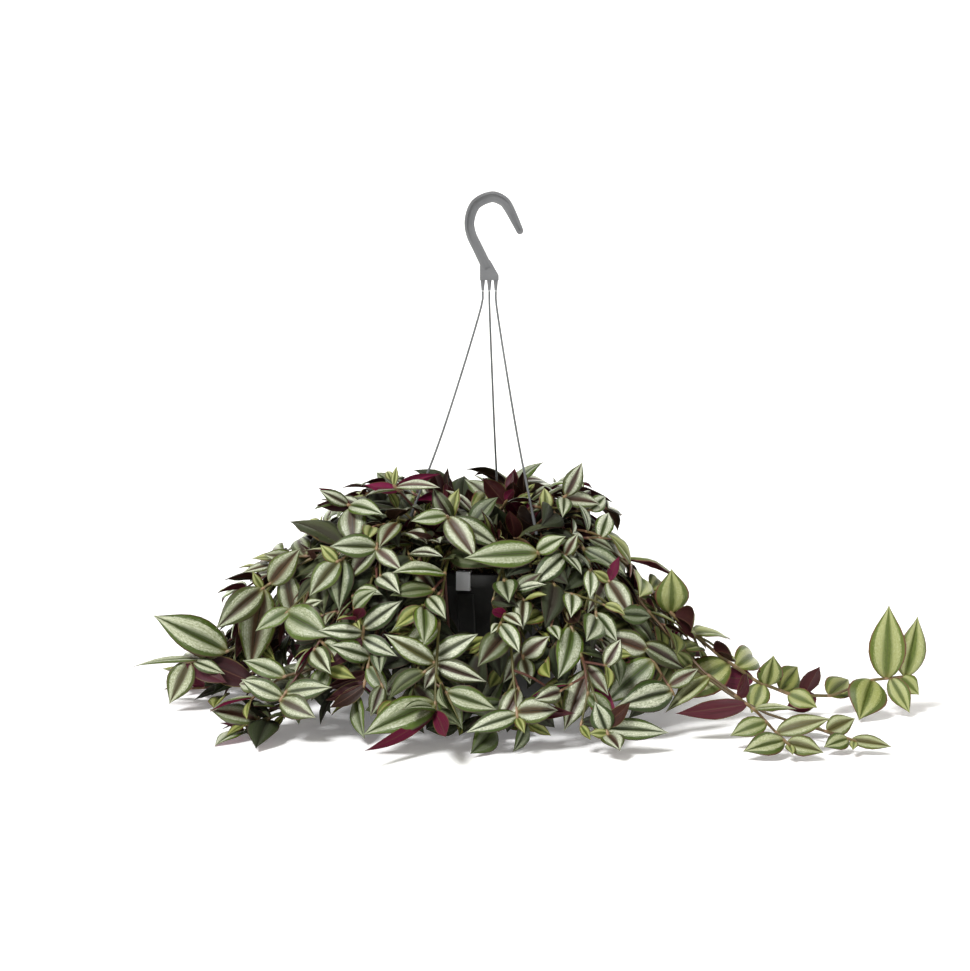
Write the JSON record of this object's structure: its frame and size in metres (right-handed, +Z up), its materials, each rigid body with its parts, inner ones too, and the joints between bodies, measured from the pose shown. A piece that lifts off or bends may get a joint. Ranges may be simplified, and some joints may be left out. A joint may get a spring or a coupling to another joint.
{
  "type": "potted trailing houseplant with hanger",
  "caption": "Round flared hanging pot with a moulded hook and strand hanger, filled with soil and overgrown by a wide mound of arching and trailing striped leafy stems.",
  "frame": {"origin": "centre of the pot's flat underside, on the surface that the pot stands on", "axes": "+Z up through the hanger's hook, +X along the longest trailing stem, -Y towards the front"},
  "size_m": [0.6428, 0.4399, 0.4193],
  "materials": {
    "pot_plastic": "matte near-black, moulded",
    "hanger_plastic": "satin mid grey, moulded",
    "potting_soil": "crumbly dark peat",
    "leafy_stem": "satin leaves, silver bands on green over purple undersides"
  },
  "bodies": {
    "root": {"crown_stem_01": "leafy_stem", "crown_stem_02": "leafy_stem", "crown_stem_03": "leafy_stem", "front_centre": "leafy_stem", "hanger_hook": "hanger_plastic", "hanger_strand_back": "hanger_plastic", "hanger_strand_left": "hanger_plastic", "hanger_strand_right": "hanger_plastic", "low_stem_01": "leafy_stem", "low_stem_02": "leafy_stem", "low_stem_03": "leafy_stem", "low_stem_04": "leafy_stem", "low_stem_05": "leafy_stem", "low_stem_06": "leafy_stem", "low_stem_07": "leafy_stem", "low_stem_08": "leafy_stem", "middle_stem_01": "leafy_stem", "middle_stem_02": "leafy_stem", "middle_stem_03": "leafy_stem", "middle_stem_04": "leafy_stem", "middle_stem_05": "leafy_stem", "middle_stem_06": "leafy_stem", "middle_stem_07": "leafy_stem", "middle_stem_08": "leafy_stem", "pot": "pot_plastic", "rim_clip_front": "hanger_plastic", "shoulder_left": "leafy_stem", "soil": "potting_soil", "spray_centre_left": "leafy_stem", "spray_centre_right": "leafy_stem", "spray_front_broad": "leafy_stem", "spray_front_left": "leafy_stem", "spray_front_middle": "leafy_stem", "spray_front_right": "leafy_stem", "spray_front_top": "leafy_stem", "spray_left_dark": "leafy_stem", "spray_left_green": "leafy_stem", "spray_left_high": "leafy_stem", "spray_left_low": "leafy_stem", "spray_left_middle": "leafy_stem", "spray_left_pair": "leafy_stem", "spray_low_left": "leafy_stem", "spray_right_large": "leafy_stem", "spray_right_low": "leafy_stem", "spray_right_middle": "leafy_stem", "spray_right_pair": "leafy_stem", "spray_side_right": "leafy_stem", "spray_top_left": "leafy_stem", "spray_top_right": "leafy_stem", "top_stem_01": "leafy_stem", "top_stem_02": "leafy_stem", "top_stem_03": "leafy_stem", "top_stem_04": "leafy_stem", "top_stem_05": "leafy_stem", "trailer_left": "leafy_stem", "trailer_right_far": "leafy_stem", "trailer_right_front": "leafy_stem", "trailer_right_low": "leafy_stem"}
  },
  "joints": []
}
